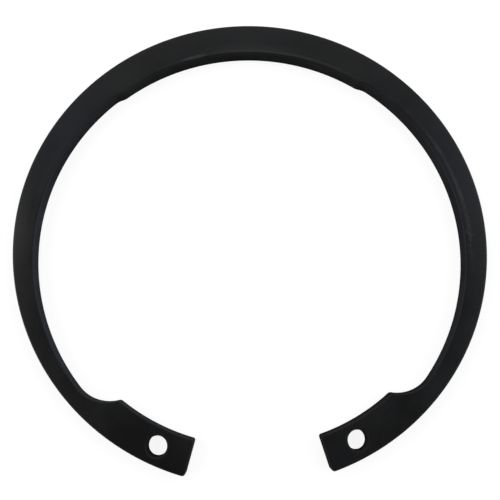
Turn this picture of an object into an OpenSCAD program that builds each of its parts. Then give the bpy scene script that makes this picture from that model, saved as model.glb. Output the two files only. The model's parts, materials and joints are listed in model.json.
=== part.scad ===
// Internal retaining ring for an 80 mm bore, in its free state.
// It is blanked from spring steel strip in one piece: a round rim, an eccentric inner edge
// that tapers the band toward the gap, a thicker middle, and two lugs with plier holes.
// The ring lies on its lower face. The rim's centre is over the origin and the gap faces -Y.

/* [Ring] */
// Outside diameter, not yet squeezed into the bore
free_d = 85.5; // [75:0.5:130]
// Thickness of the strip
thickness = 2.5; // [1.5:0.1:4]

/* [Band] */
// Width that the taper has opposite the gap
band_wide = 5.9; // [4.5:0.1:9]
// Width that the taper runs down to at the gap
band_narrow = 2.1; // [1.2:0.1:3.5]
// Distance that the inner edge's centre lies to the left of the rim's
band_offset = 0.15; // [-0.3:0.05:0.3]
// Extra width of the thick middle
mid_extra = 0.5; // [0.2:0.05:1]
// Angle from the middle to the step on the left
mid_left = 39; // [20:0.1:60]
// Angle from the middle to the step on the right
mid_right = 34.8; // [20:0.1:60]
// Radius that blends each step into the taper
step_r = 3.5; // [2:0.1:5]

/* [Lugs] */
// Width of a lug, from the rim inward
lug_w = 5.9; // [5:0.1:9]
// Length of a lug along its inner edge
lug_l = 14.4; // [11:0.1:18]
// Radius that blends a lug into the band
lug_blend_r = 6.8; // [5:0.1:8]
// Gap between the inner corners of the two lugs
gap_w = 20.7; // [8:0.1:30]
// Radius of a lug's outer corner
corner_out = 0.6; // [0.4:0.05:1]
// Radius of a lug's inner corner
corner_in = 0.4; // [0.4:0.05:1]

/* [Plier holes] */
// Diameter of a plier hole
plier_d = 3.3; // [2:0.1:4]
// Distance from a lug's end face to the middle of its hole
plier_set = 5.7; // [3:0.1:8]

/* [Edges] */
// Rolled rounding along the upper face, where the punch went in
roll = 0.3; // [0.15:0.05:0.35]
// Tumbled rounding along the lower face, where the burr was
burr = 0.12; // [0.06:0.01:0.3]

/* [Hidden] */
$fn = 180;
steel = [0.12, 0.12, 0.13];
// how far a cutter runs past what it cuts, and how many degrees a sector runs under the next
over = 1;
lap_a = 1;
// how far a round in the outline reaches past what it runs into, so that the two cross
bite = 0.02;
// the same for a round along an edge, where it runs into a face
skim = 0.005;

rim_r = free_d / 2;
lug_r = rim_r - lug_w;
// the inner edge is a circle about a centre of its own, nearer to the gap than the rim's
taper_r = rim_r - (band_wide + band_narrow) / 2;
taper_shift = (band_wide - band_narrow) / 2;
mid_r = taper_r - mid_extra;

// angles start at the middle of the gap, and grow to the right
end_a = asin(gap_w / 2 / lug_r);
corner_a = end_a + lug_l / lug_r * 180 / PI;
plier_r = (rim_r + lug_r) / 2;
plier_a = end_a + asin(plier_set / plier_r);

function at(r, a) = [r * sin(a), -r * cos(a)];
function angle_of(p) = atan2(p.x, -p.y);

// A blend circle of radius r runs into the taper circle and passes through a corner of the metal.
// Seen from the taper's centre, its own centre is this far out, and this far round from the corner.
function blend_out(r) = taper_r - r + bite;
function blend_round(r, corner) =
    acos((pow(corner, 2) + pow(blend_out(r), 2) - pow(r, 2)) / (2 * corner * blend_out(r)));

// Each half of the ring is drawn as the right one. There the taper's centre lies here, side being 1
// for the right half and -1 for the left one.
function taper_at(side) = [-side * band_offset, -taper_shift];
function lug_corner(side) = at(lug_r, corner_a) - taper_at(side);
function lug_blend_a(side) =
    angle_of(lug_corner(side)) + blend_round(lug_blend_r, norm(lug_corner(side)));
right_step_a = 180 - mid_right - blend_round(step_r, mid_r);
left_step_a = 180 - mid_left - blend_round(step_r, mid_r);

// The foot of a cutter's wall at r, flared so that the metal beyond it gets an edge of radius e
module flare(r, e) {
    difference() {
        translate([r - e, -over])
            square([2 * e, over + e - skim]);
        translate([r + e, e - skim])
            circle(r = e);
    }
}

// Section of a cutter that leaves the metal past r, with both of its edges rounded
module inside_section(r, depth) {
    translate([r - depth, -over])
        square([depth, thickness + 2 * over]);
    flare(r, burr);
    translate([0, thickness])
        mirror([0, 1])
            flare(r, roll);
}

// Section of a cutter that leaves the metal within r
module outside_section(r) {
    translate([2 * r, 0])
        mirror([1, 0])
            inside_section(r, 2 * over);
}

// A round opening, or a sector of one
module round_cut(r, from = 0, to = 360) {
    rotate_extrude(start = from - 90, angle = to - from)
        inside_section(r, r);
}

// The waste round a corner of the metal, which gets the radius r about the point at (out, a)
module corner_cut(r, out, a, from, to) {
    translate(at(out, a))
        rotate_extrude(start = from - 90, angle = to - from)
            outside_section(r);
}

// The right half of the gap, up to the lug's end face, with the lug's two corners
module end_cuts() {
    depth = rim_r * sin(end_a) + over;
    outer = rim_r - corner_out + bite;
    outer_a = end_a + asin((corner_out - bite) / outer);
    inner = lug_r + corner_in - bite;
    inner_a = end_a + asin((corner_in - bite) / inner);
    rotate([90, 0, end_a])
        linear_extrude(rim_r + over)
            inside_section(0, depth);
    corner_cut(corner_out, outer, outer_a, end_a - 90, outer_a);
    corner_cut(corner_in, inner, inner_a, inner_a - 180, end_a - 90);
}

module plier_hole() {
    translate(at(plier_r, plier_a))
        round_cut(plier_d / 2);
}

// All that is cut away in one half. The inner edge steps out from the thick middle at step_a.
module half_cuts(side, step_a) {
    blend_a = lug_blend_a(side);
    round_cut(lug_r, -lap_a, blend_a);
    translate(taper_at(side)) {
        translate(at(blend_out(lug_blend_r), blend_a))
            round_cut(lug_blend_r);
        round_cut(taper_r, blend_a, step_a);
        translate(at(blend_out(step_r), step_a))
            round_cut(step_r);
        round_cut(mid_r, step_a - lap_a, 180 + lap_a);
    }
    plier_hole();
    end_cuts();
}

module blank_disc() {
    rotate_extrude()
        difference() {
            square([rim_r + over, thickness]);
            outside_section(rim_r);
        }
}

module ring() {
    color(steel)
        difference() {
            blank_disc();
            half_cuts(1, right_step_a);
            mirror([1, 0, 0])
                half_cuts(-1, left_step_a);
        }
}

ring();
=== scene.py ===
"""Dressed scene of an internal retaining ring: black phosphated spring steel, lying on a white sheet."""

import json
import math

import bmesh
import bpy
from mathutils import Matrix, Vector


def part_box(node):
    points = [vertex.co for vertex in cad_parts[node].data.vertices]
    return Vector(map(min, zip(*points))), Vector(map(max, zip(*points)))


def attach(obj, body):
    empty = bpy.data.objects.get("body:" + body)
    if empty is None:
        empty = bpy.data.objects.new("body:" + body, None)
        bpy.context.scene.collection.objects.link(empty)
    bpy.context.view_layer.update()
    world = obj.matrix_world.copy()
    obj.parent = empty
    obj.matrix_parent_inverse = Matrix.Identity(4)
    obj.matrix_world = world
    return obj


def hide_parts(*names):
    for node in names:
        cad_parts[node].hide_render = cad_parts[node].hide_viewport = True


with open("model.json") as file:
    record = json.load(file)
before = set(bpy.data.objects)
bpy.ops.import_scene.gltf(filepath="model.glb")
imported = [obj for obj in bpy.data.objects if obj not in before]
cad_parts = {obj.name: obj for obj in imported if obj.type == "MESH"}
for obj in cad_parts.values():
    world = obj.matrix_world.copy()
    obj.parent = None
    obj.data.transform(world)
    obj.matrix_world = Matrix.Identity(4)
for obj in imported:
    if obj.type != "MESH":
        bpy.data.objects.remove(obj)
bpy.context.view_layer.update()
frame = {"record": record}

bl_info = {
    "name": "Circlip Retaining Ring",
    "version": (1, 0, 0),
    "blender": (4, 5, 0),
    "location": "View3D > Sidebar > Circlip",
    "description": "Builds a phosphated internal retaining ring and the stage it is shown on",
    "category": "Object",
}

MM = 0.001
MOUNTS = {mount["name"]: mount for mount in frame["record"]["mounts"]}
RIM_R = MOUNTS["rim"]["dims"]["r_mm"] * MM
HOLE_R = MOUNTS["plier_hole_right"]["dims"]["r_mm"] * MM
HOLE_AT = Vector(MOUNTS["plier_hole_right"]["pos_m"])
RING_LOW, RING_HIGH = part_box("ring")
THICKNESS = RING_HIGH.z - RING_LOW.z

# Mesh of the ring

RING_NAME = "circlip"
# the right half of the ring and the left one
SIDES = (1, -1)
# how many turns each rounded edge is cut into, and the least distance between two rows of points
ROLL_STEPS = 6
BURR_STEPS = 3
LEAST_STEP = 0.004 * MM
# how many parts a face is cut into between its rounded edges
ACROSS = 16
# the turn from one line across the band to the next, in plain stretches and round the blends
PITCH = math.radians(0.6)
FINE_PITCH = math.radians(0.15)
# how far before a step the closer lines start, and how far they reach past it and round a lug's blend
FINE_BEFORE = math.radians(1.5)
FINE_PAST = math.radians(1)
# the lines within this distance of an end face run along it, in this many steps
END_ZONE = 0.75 * MM
END_STEPS = 9
# the room left between those lines and the first one that runs square to the band
END_ROOM = 0.3 * MM
# how often a point is moved out to its distance from the inner edge
SOLVE_STEPS = 24
# how far round the middle of a plier hole a face is cut open, before the hole is set in
HOLE_CLEAR = 2.45 * MM
# points closer together than this are one point
MERGE_WITHIN = 0.0005 * MM
# a face with less than this of its normal pointing up or down is one of the walls
WALL_LEVEL = 0.6
FACE_SLOT = 0
WALL_SLOT = 1

# Layers of the mesh that the finish follows

# 1 on the outline, falling to 0 on the faces
EDGE_LAYER = "edge"
# distances in millimetres
BORE_LAYER = "from_bore"
RIM_LAYER = "from_rim"
HOLE_LAYER = "from_hole"

# Finish of the ring

BLACK = (0, 0, 0, 1)
WHITE = (1, 1, 1, 1)
# how far the mottling goes from the even coat, and how much of it is clouds, the rest being flecks
MOTTLE = 0.26
CLOUD_SHARE = 0.6
# noises: patches to a metre, how many layers are finer than those, and how strong the finer ones are
CLOUDS = (130, 4, 0.6)
HUES = (60, 5, 0.7)
GRAIN = (1700, 3, 0.6)
FLECKS = (2600, 2, 0.5)
STREAK_BREAKS = (520, 3, 0.7)
SPECK_NOISE = (1300, 1, 0.5)
STREAKS = (1500, 3, 0.6)
WALL_CLOUDS = (160, 2, 0.5)
# the streaks on the walls run up and down, so they are drawn out along Z
STREAK_STRETCH = (1, 1, 0.08)
# the part of a noise's range over which it goes from none to all
CLOUD_SPREAD = (0.36, 0.64)
HUE_SPREAD = (0.4, 0.6)
FLECK_SPREAD = (0.3, 0.7)
STREAK_BREAK_SPREAD = (0.38, 0.6)
SPECK_SPREAD = (0.5, 0.6)
WALL_SPREAD = (0.3, 0.7)
# how strong the painted highlight streak is where its breaks leave least and most of it
STREAK_BREAK_STRENGTH = (0.4, 1.25)
# the oil is smoother in the dark clouds and rougher in the light ones
SMOOTHER = 0.04
ROUGHER = 0.05
FACE_SPECULAR = 0.12
# strength and depth of the bumps
GRAIN_BUMP = (0.3, 0.03 * MM)
STREAK_BUMP = (0.3, 0.04 * MM)

# Places on the upper face

# each is a point of the plan and a reach, in millimetres, and a strength, which above 1 stays full for longer
# painted sheen: lighter, bluer places on the upper face where the side soft boxes reflect, painted into its
# colour
PAINTED_SHEEN_LEFT = (-33.5, 19, 23, 1)
PAINTED_SHEEN_RIGHT = (37.6, 9.5, 24, 1)
PAINTED_SHEEN_PLACES = (PAINTED_SHEEN_LEFT, PAINTED_SHEEN_RIGHT)

# painted sheen, paler and more neutral: lighter places on the top, the lower band, the left rim, the lugs and
# the steps, painted into the colour
PALE_TOP = (-2, 38, 12, 0.15)
PALE_BAND = (-29.5, -25, 16, 0.32)
PALE_LEFT_LUG = (-11.5, -36.2, 5, 0.6)
PALE_RIGHT_LUG = (16.5, -32, 8, 0.4)
PALE_LEFT_STEP = (-25, 29.6, 7, 0.7)
PALE_RIGHT_STEP = (19, 31.8, 7, 0.6)
PALE_RIM = (-41.6, 0, 6, 1)
PALE_LUGS = (PALE_LEFT_LUG, PALE_RIGHT_LUG)
PALE_STEPS = (PALE_LEFT_STEP, PALE_RIGHT_STEP)
PALE_PAINTED_SHEEN_PLACES = (PALE_TOP, PALE_BAND, PALE_RIM, *PALE_LUGS, *PALE_STEPS)

DULL_LUG = (-17.5, -36, 9, 0.2)
DULL_TOP = (16, 40, 13, 0.3)
DULL_RIGHT = (41, -13, 13, 0.3)
DULL_PLACES = (DULL_LUG, DULL_TOP, DULL_RIGHT)

# painted highlights: lighter places along the inner edge in the middle and on the left, and along the left
# rim, painted into the colour
HIGHLIGHT_MIDDLE = (1.5, 36, 18, 0.4)
HIGHLIGHT_LEFT = (-36.5, 11, 15, 0.2)
HIGHLIGHT_RIM = (-41.6, 1, 14, 0.55)
# painted highlight: a bright line along the inner edge, just past the rolled edge
LINE_MIDDLE = (4, 35, 26, 0.7)
LINE_END = (-10.2, 35.3, 4, 1.6)
LINE_PLACES = (LINE_MIDDLE, LINE_END)
# painted highlight: a bright streak along the inner edge on the right, with light specks beside it
STREAK_RIGHT = (37.2, 9.5, 21, 1)
SPECKS_RIGHT = (38.8, -0.5, 8, 0.8)

# Distances from an edge, in millimetres, over which something begins or ends

PAST_ROLL = (0.25, 0.5)
LINE_FADE = (0.75, 1.1)
HIGHLIGHT_MIDDLE_FADE = (0.6, 2.6)
HIGHLIGHT_LEFT_FADE = (0.8, 2.2)
HIGHLIGHT_RIM_FADE = (0.5, 3)
HOLE_FADE = (0.35, 0.6)
# the painted highlight streak on the right runs this far from the inner edge, and fades to both sides of that
STREAK_FROM_BORE = 1.12
STREAK_FADE = (0.1, 0.45)
SPECKS_FADE = (0.2, 1)
# where the edge layer starts to show as thin coat, how thin that gets, and how much of it the lugs have
EDGE_SPREAD = (0.35, 1)
EDGE_THIN = 0.18
LUG_THIN = 0.25

# Stretches along Y or X over which the finish changes

THIN_OFF_LUGS = (-29 * MM, -20 * MM)
WARM_OFF_LUGS = (-30 * MM, -20 * MM)
# how far the faces of the lugs have the warm colour
LUG_WARM = 0.9
# painted light and shade of the walls: toward the gap, toward the lugs, to the left and to the right
WALL_TO_GAP = (32 * MM, 5 * MM)
WALL_TO_LUGS = (-24 * MM, -29 * MM)
WALL_TO_LEFT = (5 * MM, -25 * MM)
WALL_TO_RIGHT = (-10 * MM, 10 * MM)

# Stage, in metres

# the sheet is a round floor whose edge turns up into a wall, so that it is behind the ring from all sides
SHEET_R = 1.5
SHEET_HEIGHT = 1.2
SHEET_SEGMENTS = 96
# how much of the light the sheet gives back to the ring, and what the camera sees of it: its own glow,
# and what the light adds to that outside the ring's shadow
SHEET_BOUNCE = 0.5
SHEET_GLOW = 0.89
SHEET_LIT = 0.16
ROOM_LIGHT = 0.13
# soft boxes, which face the ring: where each one hangs, its width, its power in watts and its colour
BOXES = {
    "box_left": ((-0.6, 0.1, 0.42), 0.6, 3.4, (1, 0.99, 0.96)),
    "box_right": ((0.6, 0.1, 0.42), 0.6, 3.2, (0.93, 0.97, 1)),
    "box_back": ((0, 0.62, 0.45), 0.8, 1.88, (1, 1, 1)),
}
BOX_HEIGHT = 0.5
# the photograph's camera: its place, which ways are right and up in its picture, and its lens in millimetres
CAMERA_AT = Vector((-2.724, -24.030, 88.982)) * MM
CAMERA_RIGHT = Vector((0.99947, -0.02556, 0.02005))
CAMERA_UP = Vector((0.02025, 0.97285, 0.23057))
CAMERA_LENS = 35.74
CAMERA_CLIP = 1 * MM


class RingSizes(bpy.types.PropertyGroup):
    """Sizes of the ring"""

    rim_r: bpy.props.FloatProperty(
        name="Rim radius", description="Outside radius of the free ring",
        default=RIM_R, unit="LENGTH", precision=5,
    )
    thickness: bpy.props.FloatProperty(
        name="Thickness", description="Thickness of the strip",
        default=THICKNESS, unit="LENGTH", precision=5,
    )
    band_wide: bpy.props.FloatProperty(
        name="Band width, wide", description="Width that the taper has opposite the gap",
        default=5.9 * MM, unit="LENGTH", precision=5,
    )
    band_narrow: bpy.props.FloatProperty(
        name="Band width, narrow", description="Width that the taper runs down to at the gap",
        default=2.1 * MM, unit="LENGTH", precision=5,
    )
    band_offset: bpy.props.FloatProperty(
        name="Band offset", description="How far the inner edge's centre lies to the left of the rim's",
        default=0.15 * MM, unit="LENGTH", precision=5,
    )
    middle_extra: bpy.props.FloatProperty(
        name="Middle, extra width", description="Extra width of the thick middle",
        default=0.5 * MM, unit="LENGTH", precision=5,
    )
    middle_left: bpy.props.FloatProperty(
        name="Middle, left", description="Angle from the middle to the step on the left",
        default=math.radians(39), subtype="ANGLE",
    )
    middle_right: bpy.props.FloatProperty(
        name="Middle, right", description="Angle from the middle to the step on the right",
        default=math.radians(34.8), subtype="ANGLE",
    )
    step_blend: bpy.props.FloatProperty(
        name="Step blend", description="Radius that blends each step into the taper",
        default=3.5 * MM, unit="LENGTH", precision=5,
    )
    lug_width: bpy.props.FloatProperty(
        name="Lug width", description="Width of a lug, from the rim inward",
        default=5.9 * MM, unit="LENGTH", precision=5,
    )
    lug_length: bpy.props.FloatProperty(
        name="Lug length", description="Length of a lug along its inner edge",
        default=14.4 * MM, unit="LENGTH", precision=5,
    )
    lug_blend: bpy.props.FloatProperty(
        name="Lug blend", description="Radius that blends a lug into the band",
        default=6.8 * MM, unit="LENGTH", precision=5,
    )
    gap: bpy.props.FloatProperty(
        name="Gap", description="Gap between the inner corners of the two lugs",
        default=20.7 * MM, unit="LENGTH", precision=5,
    )
    corner_outer: bpy.props.FloatProperty(
        name="Outer corner", description="Radius of a lug's outer corner",
        default=0.6 * MM, unit="LENGTH", precision=5,
    )
    corner_inner: bpy.props.FloatProperty(
        name="Inner corner", description="Radius of a lug's inner corner",
        default=0.4 * MM, unit="LENGTH", precision=5,
    )
    corner_soft: bpy.props.FloatProperty(
        name="Corner softness", description="Reach of the tumbled rounding on the corners of the inner edge",
        default=0.3 * MM, unit="LENGTH", precision=5,
    )
    hole_r: bpy.props.FloatProperty(
        name="Hole radius", description="Radius of a plier hole",
        default=HOLE_R, unit="LENGTH", precision=5,
    )
    roll: bpy.props.FloatProperty(
        name="Upper edge", description="Rolled rounding along the upper face",
        default=0.3 * MM, unit="LENGTH", precision=5,
    )
    burr: bpy.props.FloatProperty(
        name="Lower edge", description="Tumbled rounding along the lower face",
        default=0.12 * MM, unit="LENGTH", precision=5,
    )
    crown: bpy.props.FloatProperty(
        name="Crown", description="How far the faces fall toward their edges",
        default=0.03 * MM, unit="LENGTH", precision=5,
    )
    crown_width: bpy.props.FloatProperty(
        name="Crown width", description="Width over which the faces fall toward their edges",
        default=2.2 * MM, unit="LENGTH", precision=5,
    )


class RingFinish(bpy.types.PropertyGroup):
    """Colours and roughness of the ring"""

    face_cool: bpy.props.FloatVectorProperty(
        name="Face, cool", description="Colour of the phosphated faces where it is bluest", size=3,
        default=(0.0060, 0.0065, 0.0073), min=0, max=1, subtype="COLOR",
    )
    face_warm: bpy.props.FloatVectorProperty(
        name="Face, warm", description="Colour of the phosphated faces where it is warmest", size=3,
        default=(0.0069, 0.0069, 0.0063), min=0, max=1, subtype="COLOR",
    )
    # painted sheen: the bluish reflection of the side soft boxes, painted into the faces' colour; the light
    # end of the mottling is mixed toward it as well
    painted_sheen_and_mottle_color: bpy.props.FloatVectorProperty(
        name="Sheen", description="Colour of the faces where the oil has dried blue", size=3,
        default=(0.0106, 0.0115, 0.0146), min=0, max=1, subtype="COLOR",
    )
    # painted sheen: a paler, more neutral reflection of the soft boxes, painted into the faces' colour
    pale_painted_sheen_color: bpy.props.FloatVectorProperty(
        name="Pale", description="Colour of the faces where the coat is palest", size=3,
        default=(0.0128, 0.0130, 0.0130), min=0, max=1, subtype="COLOR",
    )
    # painted highlight and real wear: the light colour of the painted highlights and of the coat rubbed thin
    # along the rounded edges
    highlight_and_wear_color: bpy.props.FloatVectorProperty(
        name="Worn", description="Colour where the coat is rubbed thin", size=3,
        default=(0.0285, 0.0295, 0.0300), min=0, max=1, subtype="COLOR",
    )
    wall_color: bpy.props.FloatVectorProperty(
        name="Walls", description="Colour of the sheared walls opposite the gap", size=3,
        default=(0.0345, 0.0350, 0.0355), min=0, max=1, subtype="COLOR",
    )
    # painted light and shade: copies of the wall colour, bluer and darker toward the gap, lighter toward the
    # gap on the left, and darker on the right lug, for how the soft boxes fall on the walls
    wall_painted_cool: bpy.props.FloatVectorProperty(
        name="Walls, cool", description="Colour of the sheared walls toward the gap", size=3,
        default=(0.0268, 0.0280, 0.0330), min=0, max=1, subtype="COLOR",
    )
    wall_painted_lit_left: bpy.props.FloatVectorProperty(
        name="Walls, left", description="Colour of the sheared walls toward the gap on the left", size=3,
        default=(0.0415, 0.0427, 0.0490), min=0, max=1, subtype="COLOR",
    )
    wall_painted_shade_lug: bpy.props.FloatVectorProperty(
        name="Walls, right lug", description="Colour of the sheared walls on the right lug", size=3,
        default=(0.0215, 0.0213, 0.0212), min=0, max=1, subtype="COLOR",
    )
    hole_color: bpy.props.FloatVectorProperty(
        name="Holes", description="Colour of the walls and rounded edges of the plier holes", size=3,
        default=(0.0165, 0.0166, 0.0168), min=0, max=1, subtype="COLOR",
    )
    face_roughness: bpy.props.FloatProperty(
        name="Face roughness", description="Roughness of the faces",
        default=0.42, min=0, max=1, subtype="FACTOR",
    )
    wall_roughness: bpy.props.FloatProperty(
        name="Wall roughness", description="Roughness of the sheared walls",
        default=0.9, min=0, max=1, subtype="FACTOR",
    )


def at(radius, angle):
    """The point of the plan at that radius and angle, counted from the middle of the gap."""
    return Vector((radius * math.sin(angle), -radius * math.cos(angle)))


def angle_of(point):
    """The angle at which a point of the plan lies."""
    return math.atan2(point.x, -point.y)


def soft_min(a, b, reach):
    """The smaller of two distances, with the corner between them rounded."""
    mix = max(0, reach - abs(a - b)) / reach
    return min(a, b) - mix**2 * reach / 4


def rounded(a, b, radius):
    """Distance from a corner that two edges make, rounded by radius."""
    if a < radius and b < radius:
        return radius - math.hypot(radius - a, radius - b)
    return min(a, b)


def round_off(radius, along):
    """How much a rounding of that radius takes off, that far along from where it is deepest."""
    short = min(radius, max(0, radius - along))
    return radius - math.sqrt(radius**2 - short**2)


class Plan:
    """The ring's outline, seen from above."""

    def __init__(self, size):
        self.rim_r = size.rim_r
        self.lug_r = size.rim_r - size.lug_width
        mean_width = (size.band_wide + size.band_narrow) / 2
        self.taper_r = self.rim_r - mean_width
        shift = (size.band_wide - size.band_narrow) / 2
        # each half is drawn as the right one, so the left half has the centre mirrored
        self.taper_at = {side: Vector((-side * size.band_offset, -shift)) for side in SIDES}
        self.mid_r = self.taper_r - size.middle_extra
        self.end_a = math.asin(size.gap / 2 / self.lug_r)
        self.corner_a = self.end_a + size.lug_length / self.lug_r
        self.corner_out = size.corner_outer
        self.corner_in = size.corner_inner
        self.soft = size.corner_soft
        self.hole_at = HOLE_AT.xy
        self.hole_r = size.hole_r
        self.blend_r = size.lug_blend
        self.step_r = size.step_blend
        back = self.turn(self.step_r, self.mid_r)
        # where the thick middle ends, and where the blend of its step is centred
        self.middle_a = {1: math.pi - size.middle_right, -1: math.pi - size.middle_left}
        self.step_a = {side: self.middle_a[side] - back for side in SIDES}
        self.blend_a = {}
        self.blend_at = {}
        self.step_at = {}
        for side in SIDES:
            corner = at(self.lug_r, self.corner_a) - self.taper_at[side]
            self.blend_a[side] = angle_of(corner) + self.turn(self.blend_r, corner.length)
            self.blend_at[side] = self.taper_at[side] + at(self.taper_r - self.blend_r, self.blend_a[side])
            self.step_at[side] = self.taper_at[side] + at(self.taper_r - self.step_r, self.step_a[side])

    def turn(self, radius, corner):
        """Angle, seen from the taper's centre, between a corner and the middle of its blend."""
        out = self.taper_r - radius
        return math.acos((corner**2 + out**2 - radius**2) / (2 * corner * out))

    def from_bore(self, point):
        """Distance from the inner edge. Negative inside the bore."""
        side = 1 if point.x >= 0 else -1
        folded = Vector((abs(point.x), point.y))
        out = folded - self.taper_at[side]
        seen = angle_of(out)
        blend = (folded - self.blend_at[side]).length - self.blend_r
        step = (folded - self.step_at[side]).length - self.step_r
        if angle_of(folded) <= self.blend_a[side]:
            blend = soft_min(folded.length - self.lug_r, blend, self.soft)
        if seen >= self.step_a[side]:
            step = soft_min(out.length - self.mid_r, step, self.soft)
        if self.blend_a[side] <= seen <= self.step_a[side]:
            return min(blend, step, out.length - self.taper_r)
        return min(blend, step)

    def from_rim(self, point):
        """Distance from the rim."""
        return self.rim_r - point.length

    def from_end(self, point):
        """Distance from the nearer end face."""
        return abs(point.x) * math.cos(self.end_a) + point.y * math.sin(self.end_a)

    def from_hole(self, point):
        """Distance from the edge of the nearer plier hole."""
        folded = Vector((abs(point.x), point.y))
        return (folded - self.hole_at).length - self.hole_r

    def from_outline(self, point):
        """Distance from the whole outline, the plier holes included."""
        end = self.from_end(point)
        inner = rounded(self.from_bore(point), end, self.corner_in)
        outer = rounded(self.from_rim(point), end, self.corner_out)
        return min(inner, outer, self.from_hole(point))


def arc_steps(radius, count):
    """Distances from an edge at which a quarter round of that radius is cut into equal turns."""
    return [radius * (1 - math.cos(math.pi / 2 * k / count)) for k in range(count + 1)]


def spaced(steps):
    """The steps in order, without those that nearly repeat the one before."""
    kept = []
    for step in sorted(steps):
        if not kept or step - kept[-1] > LEAST_STEP:
            kept.append(step)
    return kept


def edge_steps(size):
    """Distances from the outline at which both faces have a row of points."""
    return spaced([*arc_steps(size.roll, ROLL_STEPS), *arc_steps(size.burr, BURR_STEPS)])


def opposite(stretch):
    """The same stretch of angles in the other half of the ring."""
    low, high = stretch
    return 2 * math.pi - high, 2 * math.pi - low


def fine_stretches(plan):
    """The stretches of angles round the blends and steps, where the lines are closer together."""
    lug = (plan.corner_a - FINE_PAST, max(plan.blend_a.values()) + FINE_PAST)
    right, left = ((plan.step_a[side] - FINE_BEFORE, plan.middle_a[side] + FINE_PAST) for side in SIDES)
    return lug, right, opposite(left), opposite(lug)


def stations(plan, size):
    """Lines across the band, each an angle and a shift sideways.

    They run square to the band, and those nearest to an end face run along it.
    """
    shifts = spaced([*edge_steps(size), *arc_steps(END_ZONE, END_STEPS)])
    right = [(plan.end_a, shift) for shift in shifts]
    left = [(2 * math.pi - plan.end_a, -shift) for shift in reversed(shifts)]
    fine = fine_stretches(plan)
    between = []
    angle = plan.end_a + (END_ZONE + END_ROOM) / plan.lug_r
    last = 2 * math.pi - angle
    while angle < last:
        between.append((angle, 0))
        dense = any(low <= angle <= high for low, high in fine)
        angle += FINE_PITCH if dense else PITCH
    return right + between + left


def line_across(plan, size, station):
    """The points of one station's line, from the bore to the rim."""
    angle, shift = station
    along = at(1, angle)
    sideways = Vector((math.cos(angle), math.sin(angle))) * shift
    steps = edge_steps(size)
    at_end = angle in (plan.end_a, 2 * math.pi - plan.end_a)
    from_end = abs(shift) if at_end else END_ZONE
    bore_inset = round_off(plan.corner_in, from_end)
    rim_inset = round_off(plan.corner_out, from_end)
    inner = []
    reach = plan.lug_r
    for step in steps:
        # moved outward until it is that far from the inner edge
        for _ in range(SOLVE_STEPS):
            reach += bore_inset + step - plan.from_bore(along * reach + sideways)
        inner.append(reach)
    outer = [
        math.sqrt((plan.rim_r - rim_inset - step) ** 2 - shift**2)
        for step in reversed(steps)
    ]
    low = inner[-1]
    high = outer[0]
    middle = [low + (high - low) * k / ACROSS for k in range(1, ACROSS)]
    return [along * reach + sideways for reach in inner + middle + outer]


def face_height(size, radius, away, upper):
    """Height of a face whose edges have that radius, at that distance from the outline."""
    near = max(0, 1 - away / size.crown_width)
    fall = round_off(radius, away) + size.crown * near**2
    return size.thickness - fall if upper else fall


def add_face(mesh, plan, size, lines, radius, upper):
    """One face of the ring as a grid, with its edges rounded."""
    wide = len(lines) - 1
    high = len(lines[0]) - 1
    made = bmesh.ops.create_grid(mesh, x_segments=wide, y_segments=high, size=1)
    for vert in made["verts"]:
        station = round((vert.co.x + 1) / 2 * wide)
        row = round((vert.co.y + 1) / 2 * high)
        point = lines[station][row]
        height = face_height(size, radius, plan.from_outline(point), upper)
        vert.co = (point.x, point.y, height)
    return made["verts"]


def open_hole(mesh, plan, size, verts, side, radius, upper):
    """Opens a plier hole in one face and gives the edges of its throat."""
    centre = Vector((plan.hole_at.x * side, plan.hole_at.y))
    near = {vert for vert in verts if (vert.co.xy - centre).length < HOLE_CLEAR}
    cut = [face for face in mesh.faces if near.issuperset(face.verts)]
    gone = set(cut)
    # the border of the cut, and then each circle in turn, down to the throat
    last = [edge for face in cut for edge in face.edges if not gone.issuperset(edge.link_faces)]
    bmesh.ops.delete(mesh, geom=cut, context="FACES")
    count = len(last)
    way = -1 if upper else 1
    heights = {}
    for depth, step in enumerate(reversed(edge_steps(size))):
        # the loops are bridged well apart, where each can face only the one before it
        place = Matrix.Translation((centre.x, centre.y, way * (depth + 1) * size.thickness))
        circle = bmesh.ops.create_circle(
            mesh, cap_ends=False, radius=plan.hole_r + step, segments=count, matrix=place
        )["verts"]
        heights.update(dict.fromkeys(circle, face_height(size, radius, step, upper)))
        edges = list(dict.fromkeys(edge for vert in circle for edge in vert.link_edges))
        bmesh.ops.bridge_loops(mesh, edges=last + edges)
        last = edges
    for vert, height in heights.items():
        vert.co.z = height
    return last


def add_layers(mesh, plan, size):
    """Tells each point how near it is to the edges, for the finish to follow."""
    edge_layer = mesh.verts.layers.float.new(EDGE_LAYER)
    bore_layer = mesh.verts.layers.float.new(BORE_LAYER)
    rim_layer = mesh.verts.layers.float.new(RIM_LAYER)
    hole_layer = mesh.verts.layers.float.new(HOLE_LAYER)
    for vert in mesh.verts:
        point = vert.co.xy
        vert[edge_layer] = max(0, 1 - plan.from_outline(point) / (2 * size.roll))
        vert[bore_layer] = plan.from_bore(point) / MM
        vert[rim_layer] = plan.from_rim(point) / MM
        vert[hole_layer] = plan.from_hole(point) / MM


def share_materials(mesh, size):
    """Gives the walls and the rounded edges of the plier holes the walls' material."""
    hole_layer = mesh.verts.layers.float[HOLE_LAYER]
    for face in mesh.faces:
        face.smooth = True
        steep = abs(face.normal.z) < WALL_LEVEL
        on_hole = all(vert[hole_layer] * MM < size.roll + LEAST_STEP for vert in face.verts)
        face.material_index = WALL_SLOT if steep or on_hole else FACE_SLOT


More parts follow.
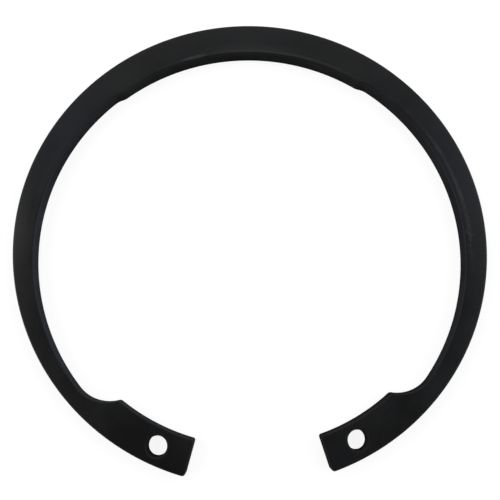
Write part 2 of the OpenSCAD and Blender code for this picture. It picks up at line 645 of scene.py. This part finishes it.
def build_ring(size):
    """The ring as one closed mesh."""
    plan = Plan(size)
    mesh = bmesh.new()
    lines = [line_across(plan, size, station) for station in stations(plan, size)]
    borders = []
    throats = {side: [] for side in SIDES}
    for radius, upper in ((size.roll, True), (size.burr, False)):
        verts = add_face(mesh, plan, size, lines, radius, upper)
        own = set(verts)
        borders += [edge for edge in mesh.edges if edge.is_boundary and own.issuperset(edge.verts)]
        for side in SIDES:
            living = [vert for vert in verts if vert.is_valid]
            throats[side] += open_hole(mesh, plan, size, living, side, radius, upper)
    for loops in (borders, *throats.values()):
        bmesh.ops.bridge_loops(mesh, edges=loops)
    bmesh.ops.remove_doubles(mesh, verts=mesh.verts, dist=MERGE_WITHIN)
    bmesh.ops.recalc_face_normals(mesh, faces=mesh.faces)
    add_layers(mesh, plan, size)
    share_materials(mesh, size)
    return mesh


def start_material(name):
    """An empty material with one shader."""
    material = bpy.data.materials.new(name)
    material.use_nodes = True
    tree = material.node_tree
    return material, tree, tree.nodes["Principled BSDF"]


def object_place(tree):
    """The object's coordinates."""
    return tree.nodes.new("ShaderNodeTexCoord").outputs["Object"]


def coordinate(tree, place, axis):
    """One of the three coordinates of a place."""
    node = tree.nodes.new("ShaderNodeSeparateXYZ")
    tree.links.new(place, node.inputs[0])
    return node.outputs[axis]


def layer(tree, name):
    """The number that the mesh holds under that name."""
    node = tree.nodes.new("ShaderNodeAttribute")
    node.attribute_name = name
    return node.outputs["Fac"]


def socket_color(color):
    """A colour with its alpha, as a shader socket takes it."""
    return (*color, 1)


def feed(tree, value, socket):
    """Gives a socket its value, which is a number, a colour or another node's socket."""
    if isinstance(value, bpy.types.NodeSocket):
        tree.links.new(value, socket)
    else:
        socket.default_value = value


def mix_colors(tree, first, second, factor):
    """Two colours mixed, the factor being how much there is of the second one."""
    node = tree.nodes.new("ShaderNodeMix")
    node.data_type = "RGBA"
    for index, value in ((0, factor), (6, first), (7, second)):
        feed(tree, value, node.inputs[index])
    return node.outputs[2]


def combine(tree, operation, *values):
    """One number made from two or more by the same operation."""
    result = values[0]
    for value in values[1:]:
        node = tree.nodes.new("ShaderNodeMath")
        node.operation = operation
        for index, one in enumerate((result, value)):
            feed(tree, one, node.inputs[index])
        result = node.outputs[0]
    return result


def remap(tree, value, low, high, to_low, to_high, way="LINEAR"):
    """The value, taken from one range to another and kept within it."""
    node = tree.nodes.new("ShaderNodeMapRange")
    node.interpolation_type = way
    tree.links.new(value, node.inputs["Value"])
    for name, number in (("From Min", low), ("From Max", high), ("To Min", to_low), ("To Max", to_high)):
        node.inputs[name].default_value = number
    return node.outputs["Result"]


def fade_in(tree, value, stretch):
    """0 before a stretch of the value and 1 past it."""
    return remap(tree, value, *stretch, 0, 1)


def fade_out(tree, value, stretch):
    """1 before a stretch of the value and 0 past it."""
    return remap(tree, value, *stretch, 1, 0)


def noise(tree, place, kind):
    """A noise over the object, of one of the kinds named above."""
    node = tree.nodes.new("ShaderNodeTexNoise")
    tree.links.new(place, node.inputs["Vector"])
    for name, number in zip(("Scale", "Detail", "Roughness"), kind):
        node.inputs[name].default_value = number
    return node.outputs["Fac"]


def stretch_place(tree, place, scale):
    """Coordinates stretched by a factor along each axis."""
    node = tree.nodes.new("ShaderNodeMapping")
    tree.links.new(place, node.inputs["Vector"])
    node.inputs["Scale"].default_value = scale
    return node.outputs["Vector"]


def patch(tree, place, spot):
    """The strength of a place of the upper face at its middle, fading to 0 where it ends."""
    across, up, reach, strength = spot
    node = tree.nodes.new("ShaderNodeVectorMath")
    node.operation = "DISTANCE"
    tree.links.new(place, node.inputs[0])
    node.inputs[1].default_value = (across * MM, up * MM, THICKNESS)
    return remap(tree, node.outputs["Value"], 0, reach * MM, strength, 0, "SMOOTHSTEP")


def patches(tree, place, spots):
    """The strongest of several places."""
    return combine(tree, "MAXIMUM", *(patch(tree, place, spot) for spot in spots))


def add_bump(tree, shader, height, bump):
    """Raises the surface by a height, without moving it."""
    node = tree.nodes.new("ShaderNodeBump")
    for name, number in zip(("Strength", "Distance"), bump):
        node.inputs[name].default_value = number
    tree.links.new(height, node.inputs["Height"])
    tree.links.new(node.outputs["Normal"], shader.inputs["Normal"])


def coat_color(tree, place, finish, cloud):
    """Colour of the even coat: mottled, with painted sheen that makes it bluer and paler in places, and
    duller in places.
    """
    fleck = fade_in(tree, noise(tree, place, FLECKS), FLECK_SPREAD)
    hue = fade_in(tree, noise(tree, place, HUES), HUE_SPREAD)
    warm_lugs = remap(tree, coordinate(tree, place, "Y"), *WARM_OFF_LUGS, LUG_WARM, 0)
    hue = combine(tree, "MAXIMUM", hue, warm_lugs)
    even = mix_colors(tree, socket_color(finish.face_cool), socket_color(finish.face_warm), hue)
    dark = mix_colors(tree, even, BLACK, MOTTLE)
    light = mix_colors(tree, even, socket_color(finish.painted_sheen_and_mottle_color), 2 * MOTTLE)
    clouds = combine(tree, "MULTIPLY", cloud, CLOUD_SHARE)
    flecks = combine(tree, "MULTIPLY", fleck, 1 - CLOUD_SHARE)
    coat = mix_colors(tree, dark, light, combine(tree, "ADD", clouds, flecks))
    # painted sheen in the blue and the pale places; the dull places are darker
    places = (
        (PAINTED_SHEEN_PLACES, socket_color(finish.painted_sheen_and_mottle_color)),
        (PALE_PAINTED_SHEEN_PLACES, socket_color(finish.pale_painted_sheen_color)),
        (DULL_PLACES, BLACK),
    )
    for spots, color in places:
        coat = mix_colors(tree, coat, color, patches(tree, place, spots))
    return coat


def highlights_and_wear(tree, place):
    """How far the faces take the light colour: painted highlights along the inner edge, the left rim and the
    streak on the right, and real wear where the coat is rubbed thin along the rounded edges.
    """
    from_bore = layer(tree, BORE_LAYER)
    past_roll = fade_in(tree, from_bore, PAST_ROLL)
    middle_fade = fade_out(tree, from_bore, HIGHLIGHT_MIDDLE_FADE)
    middle = combine(tree, "MULTIPLY", patch(tree, place, HIGHLIGHT_MIDDLE), middle_fade, past_roll)
    left_fade = fade_out(tree, from_bore, HIGHLIGHT_LEFT_FADE)
    left = combine(tree, "MULTIPLY", patch(tree, place, HIGHLIGHT_LEFT), left_fade)
    rim_fade = fade_out(tree, layer(tree, RIM_LAYER), HIGHLIGHT_RIM_FADE)
    rim = combine(tree, "MULTIPLY", patch(tree, place, HIGHLIGHT_RIM), rim_fade)
    # the painted highlight line starts where the rolled edge ends
    line_fade = fade_out(tree, from_bore, LINE_FADE)
    line = combine(tree, "MULTIPLY", patches(tree, place, LINE_PLACES), past_roll, line_fade)
    # the painted highlight streak on the right is broken up by noise, and has painted light specks beside its
    # lower end
    off_streak = combine(tree, "ABSOLUTE", combine(tree, "SUBTRACT", from_bore, STREAK_FROM_BORE), 0)
    on_streak = fade_out(tree, off_streak, STREAK_FADE)
    breaks = remap(tree, noise(tree, place, STREAK_BREAKS), *STREAK_BREAK_SPREAD, *STREAK_BREAK_STRENGTH)
    streak = combine(tree, "MULTIPLY", patch(tree, place, STREAK_RIGHT), on_streak, breaks)
    by_streak = fade_out(tree, off_streak, SPECKS_FADE)
    speck_noise = fade_in(tree, noise(tree, place, SPECK_NOISE), SPECK_SPREAD)
    specks = combine(tree, "MULTIPLY", patch(tree, place, SPECKS_RIGHT), by_streak, speck_noise)
    # rings rub on each other along their rounded edges, but less on the lugs
    off_lugs = remap(tree, coordinate(tree, place, "Y"), *THIN_OFF_LUGS, LUG_THIN, 1)
    thin = remap(tree, layer(tree, EDGE_LAYER), *EDGE_SPREAD, 0, EDGE_THIN)
    edges = combine(tree, "MULTIPLY", thin, off_lugs)
    return combine(tree, "MAXIMUM", specks, middle, line, left, streak, rim, edges)


def face_material(finish):
    """Black phosphate and oil: softly mottled, with a fine grain, rubbed thin along the edges, and with
    painted sheen and painted highlights in places.
    """
    material, tree, shader = start_material("phosphated_face")
    place = object_place(tree)
    cloud = fade_in(tree, noise(tree, place, CLOUDS), CLOUD_SPREAD)
    coat = coat_color(tree, place, finish, cloud)
    color = mix_colors(tree, coat, socket_color(finish.highlight_and_wear_color), highlights_and_wear(tree, place))
    tree.links.new(color, shader.inputs["Base Color"])
    smooth = finish.face_roughness - SMOOTHER
    rough = finish.face_roughness + ROUGHER
    tree.links.new(remap(tree, cloud, 0, 1, smooth, rough), shader.inputs["Roughness"])
    shader.inputs["Specular IOR Level"].default_value = FACE_SPECULAR
    add_bump(tree, shader, noise(tree, place, GRAIN), GRAIN_BUMP)
    return material


def wall_material(finish):
    """The sheared wall: matt, with streaks that run with the punch, and with painted light and shade: bluer
    and darker toward the gap, lighter on its left, darker on the right lug.
    """
    material, tree, shader = start_material("sheared_wall")
    place = object_place(tree)
    across = coordinate(tree, place, "X")
    up = coordinate(tree, place, "Y")
    # painted light and shade: the wall colour gives way to a bluer, darker copy toward the gap, a lighter one
    # toward the gap on the left, and a darker one on the right lug
    to_gap = fade_in(tree, up, WALL_TO_GAP)
    color = mix_colors(tree, socket_color(finish.wall_color), socket_color(finish.wall_painted_cool), to_gap)
    low_left = combine(tree, "MULTIPLY", fade_in(tree, across, WALL_TO_LEFT), to_gap)
    color = mix_colors(tree, color, socket_color(finish.wall_painted_lit_left), low_left)
    to_right = fade_in(tree, across, WALL_TO_RIGHT)
    right_lug = combine(tree, "MULTIPLY", to_right, fade_in(tree, up, WALL_TO_LUGS))
    color = mix_colors(tree, color, socket_color(finish.wall_painted_shade_lug), right_lug)
    dull = mix_colors(tree, color, BLACK, MOTTLE)
    mottling = fade_in(tree, noise(tree, place, WALL_CLOUDS), WALL_SPREAD)
    color = mix_colors(tree, dull, color, mottling)
    in_hole = fade_out(tree, layer(tree, HOLE_LAYER), HOLE_FADE)
    color = mix_colors(tree, color, socket_color(finish.hole_color), in_hole)
    tree.links.new(color, shader.inputs["Base Color"])
    shader.inputs["Roughness"].default_value = finish.wall_roughness
    shader.inputs["Specular IOR Level"].default_value = 0
    streaks = noise(tree, stretch_place(tree, place, STREAK_STRETCH), STREAKS)
    add_bump(tree, shader, streaks, STREAK_BUMP)
    return material


def sheet_material():
    """White to the camera, also in gloss and through glass, and grey as a source of light."""
    material, tree, shader = start_material("white_sheet")
    path = tree.nodes.new("ShaderNodeLightPath")
    rays = ("Is Camera Ray", "Is Glossy Ray", "Is Transmission Ray")
    seen = combine(tree, "MAXIMUM", *(path.outputs[ray] for ray in rays))
    bounce = socket_color([SHEET_BOUNCE] * 3)
    lit = socket_color([SHEET_LIT] * 3)
    tree.links.new(mix_colors(tree, bounce, lit, seen), shader.inputs["Base Color"])
    tree.links.new(combine(tree, "MULTIPLY", seen, SHEET_GLOW), shader.inputs["Emission Strength"])
    shader.inputs["Emission Color"].default_value = WHITE
    shader.inputs["Roughness"].default_value = 1
    shader.inputs["Specular IOR Level"].default_value = 0
    return material


def add_object(context, name, mesh, *materials):
    """Puts a finished mesh in the scene."""
    data = bpy.data.meshes.new(name)
    mesh.to_mesh(data)
    mesh.free()
    for material in materials:
        data.materials.append(material)
    made = bpy.data.objects.new(name, data)
    context.collection.objects.link(made)
    return made


def build_sheet():
    """A disc whose edge is raised into a wall."""
    mesh = bmesh.new()
    bmesh.ops.create_circle(mesh, cap_ends=True, radius=SHEET_R, segments=SHEET_SEGMENTS)
    border = [edge for edge in mesh.edges if edge.is_boundary]
    wall = bmesh.ops.extrude_edge_only(mesh, edges=border)["geom"]
    raised = [one for one in wall if isinstance(one, bmesh.types.BMVert)]
    bmesh.ops.translate(mesh, verts=raised, vec=(0, 0, SHEET_HEIGHT))
    return mesh


def light_room(context):
    """An even, weak light from all round."""
    world = bpy.data.worlds.new("room")
    world.use_nodes = True
    background = world.node_tree.nodes["Background"]
    background.inputs["Color"].default_value = WHITE
    background.inputs["Strength"].default_value = ROOM_LIGHT
    context.scene.world = world


def add_box(context, name, place, width, power, tint):
    """A soft box that faces the ring."""
    light = bpy.data.lights.new(name, "AREA")
    light.shape = "RECTANGLE"
    light.size = width
    light.size_y = BOX_HEIGHT
    light.energy = power
    light.color = tint
    lamp = bpy.data.objects.new(name, light)
    lamp.location = place
    lamp.rotation_mode = "QUATERNION"
    lamp.rotation_quaternion = (Vector() - Vector(place)).to_track_quat("-Z", "Y")
    context.collection.objects.link(lamp)


def add_camera(context):
    """The camera at the photograph's angle."""
    lens = bpy.data.cameras.new("camera")
    lens.lens = CAMERA_LENS
    lens.clip_start = CAMERA_CLIP
    camera = bpy.data.objects.new("camera", lens)
    back = CAMERA_RIGHT.cross(CAMERA_UP)
    turn = Matrix((CAMERA_RIGHT, CAMERA_UP, back)).transposed().to_4x4()
    camera.matrix_world = Matrix.Translation(CAMERA_AT) @ turn
    context.collection.objects.link(camera)
    context.scene.camera = camera


class CIRCLIP_OT_ring(bpy.types.Operator):
    """Builds the ring and gives it its finish"""

    bl_idname = "circlip.ring"
    bl_label = "Retaining ring"

    def execute(self, context):
        finish = context.scene.circlip_finish
        mesh = build_ring(context.scene.circlip_sizes)
        ring = add_object(context, RING_NAME, mesh, face_material(finish), wall_material(finish))
        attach(ring, "root")
        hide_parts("ring")
        return {"FINISHED"}


class CIRCLIP_OT_stage(bpy.types.Operator):
    """Sets up the white sheet, the soft boxes and the camera"""

    bl_idname = "circlip.stage"
    bl_label = "Stage"

    def execute(self, context):
        sheet = add_object(context, "sheet", build_sheet(), sheet_material())
        light_room(context)
        for name, box in BOXES.items():
            add_box(context, name, *box)
        add_camera(context)
        context.scene.view_settings.view_transform = "Standard"
        return {"FINISHED"}


class CIRCLIP_PT_panel(bpy.types.Panel):
    """Sizes and finish of the ring, and what builds it"""

    bl_idname = "CIRCLIP_PT_panel"
    bl_label = "Circlip"
    bl_space_type = "VIEW_3D"
    bl_region_type = "UI"
    bl_category = "Circlip"

    def draw(self, context):
        for group in (context.scene.circlip_sizes, context.scene.circlip_finish):
            box = self.layout.box()
            for name in group.bl_rna.properties.keys():
                if name not in ("rna_type", "name"):
                    box.prop(group, name)
        self.layout.operator(CIRCLIP_OT_ring.bl_idname)
        self.layout.operator(CIRCLIP_OT_stage.bl_idname)


CLASSES = (RingSizes, RingFinish, CIRCLIP_OT_ring, CIRCLIP_OT_stage, CIRCLIP_PT_panel)


def register():
    for one in CLASSES:
        bpy.utils.register_class(one)
    bpy.types.Scene.circlip_sizes = bpy.props.PointerProperty(type=RingSizes)
    bpy.types.Scene.circlip_finish = bpy.props.PointerProperty(type=RingFinish)


def unregister():
    del bpy.types.Scene.circlip_sizes
    del bpy.types.Scene.circlip_finish
    for one in reversed(CLASSES):
        bpy.utils.unregister_class(one)


def main():
    """Builds the ring and its stage."""
    register()
    bpy.ops.circlip.ring()
    bpy.ops.circlip.stage()


if __name__ == "__main__":
    main()
